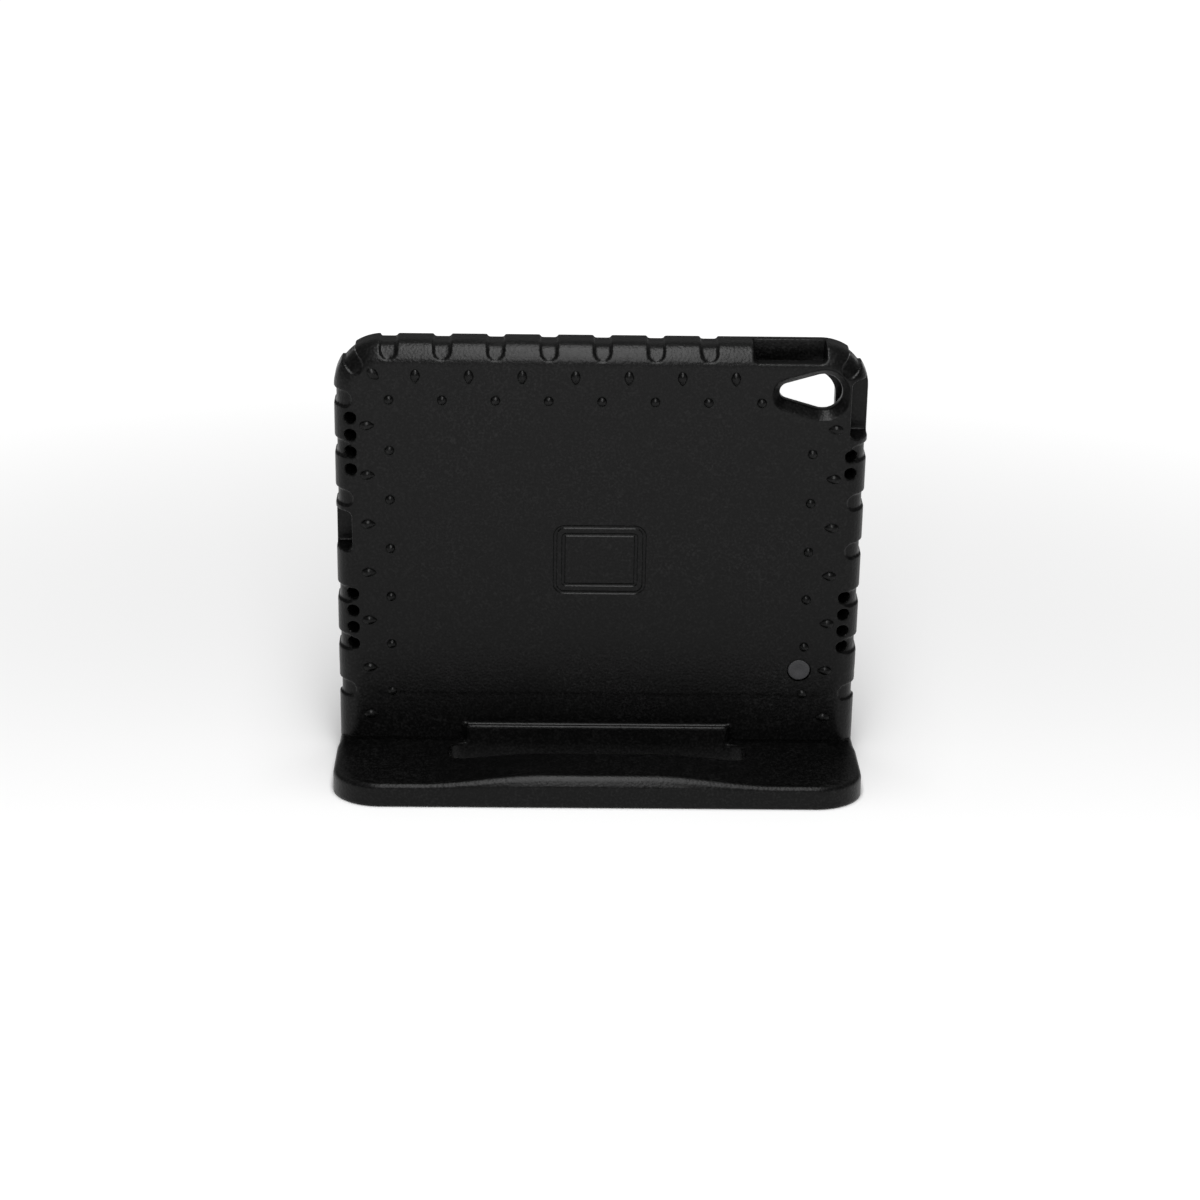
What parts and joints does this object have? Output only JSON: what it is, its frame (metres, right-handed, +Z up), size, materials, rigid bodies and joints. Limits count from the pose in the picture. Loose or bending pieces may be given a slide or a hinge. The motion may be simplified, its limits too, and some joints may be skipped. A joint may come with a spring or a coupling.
{
  "type": "kids tablet case",
  "caption": "One-piece foam tablet case with a grooved rim, dotted back and a carrying handle folded back as its stand.",
  "frame": {"origin": "middle of the footprint of the bounding box, on the floor that the case stands on", "axes": "+X across the case, +Y the way the screen looks, +Z up; the handle is folded back along -Y"},
  "size_m": [0.2716, 0.0872, 0.2305],
  "materials": {
    "black_foam": "satin, fine grain",
    "grey_plug": "matte"
  },
  "bodies": {
    "root": {"foam_case": "black_foam", "round_plug": "grey_plug"}
  },
  "joints": []
}
